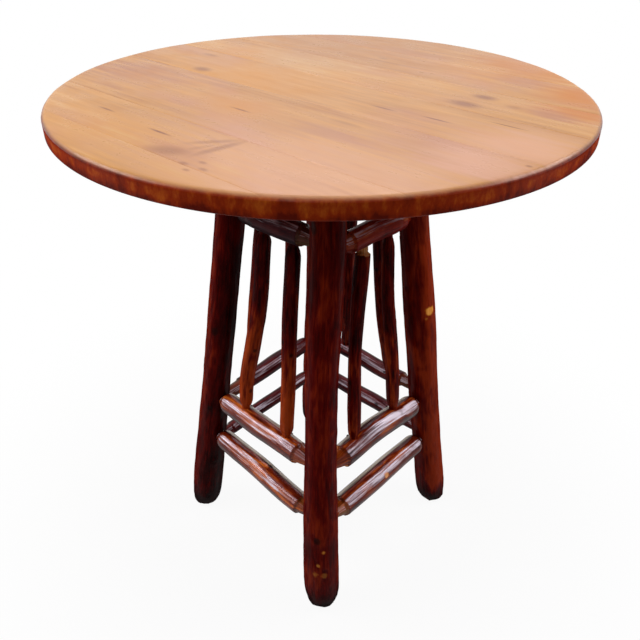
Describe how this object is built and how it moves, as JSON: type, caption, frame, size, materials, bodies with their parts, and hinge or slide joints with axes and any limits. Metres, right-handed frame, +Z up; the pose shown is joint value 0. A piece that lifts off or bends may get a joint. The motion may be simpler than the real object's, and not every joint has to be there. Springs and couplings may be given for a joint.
{
  "type": "rustic pub table",
  "caption": "Round edge-glued wooden top on splayed bark-on hickory pole legs tied by three tiers of pole rails, with spindles between the apron rail and the middle rail on each side.",
  "frame": {"origin": "on the floor, under the centre of the round top", "axes": "+Z up; the front leg stands towards -Y, the right leg towards +X, the back leg towards +Y and the left leg towards -X"},
  "size_m": [0.9144, 0.9144, 1.0668],
  "materials": {
    "pine_top": "gloss",
    "batten_wood": "satin",
    "hickory_legs": "gloss",
    "hickory_rails": "gloss",
    "hickory_spindles": "gloss",
    "screw_steel": "satin",
    "nail_steel": "satin"
  },
  "bodies": {
    "root": {"top_board_1": "pine_top", "top_board_2": "pine_top", "top_board_3": "pine_top", "top_board_4": "pine_top", "top_board_5": "pine_top", "top_board_6": "pine_top", "top_board_7": "pine_top", "batten_front": "batten_wood", "batten_back": "batten_wood", "leg_front": "hickory_legs", "leg_right": "hickory_legs", "leg_back": "hickory_legs", "leg_left": "hickory_legs", "apron_rail_left_front": "hickory_rails", "apron_rail_front_right": "hickory_rails", "apron_rail_right_back": "hickory_rails", "apron_rail_back_left": "hickory_rails", "middle_rail_left_front": "hickory_rails", "middle_rail_front_right": "hickory_rails", "middle_rail_right_back": "hickory_rails", "middle_rail_back_left": "hickory_rails", "lower_rail_left_front": "hickory_rails", "lower_rail_front_right": "hickory_rails", "lower_rail_right_back": "hickory_rails", "lower_rail_back_left": "hickory_rails", "spindle_left_front_1": "hickory_spindles", "spindle_left_front_2": "hickory_spindles", "spindle_front_right_1": "hickory_spindles", "spindle_front_right_2": "hickory_spindles", "spindle_right_back_1": "hickory_spindles", "spindle_right_back_2": "hickory_spindles", "spindle_back_left_1": "hickory_spindles", "spindle_back_left_2": "hickory_spindles", "batten_screws": "screw_steel", "rail_nails": "nail_steel", "spindle_nails": "nail_steel"}
  },
  "joints": []
}
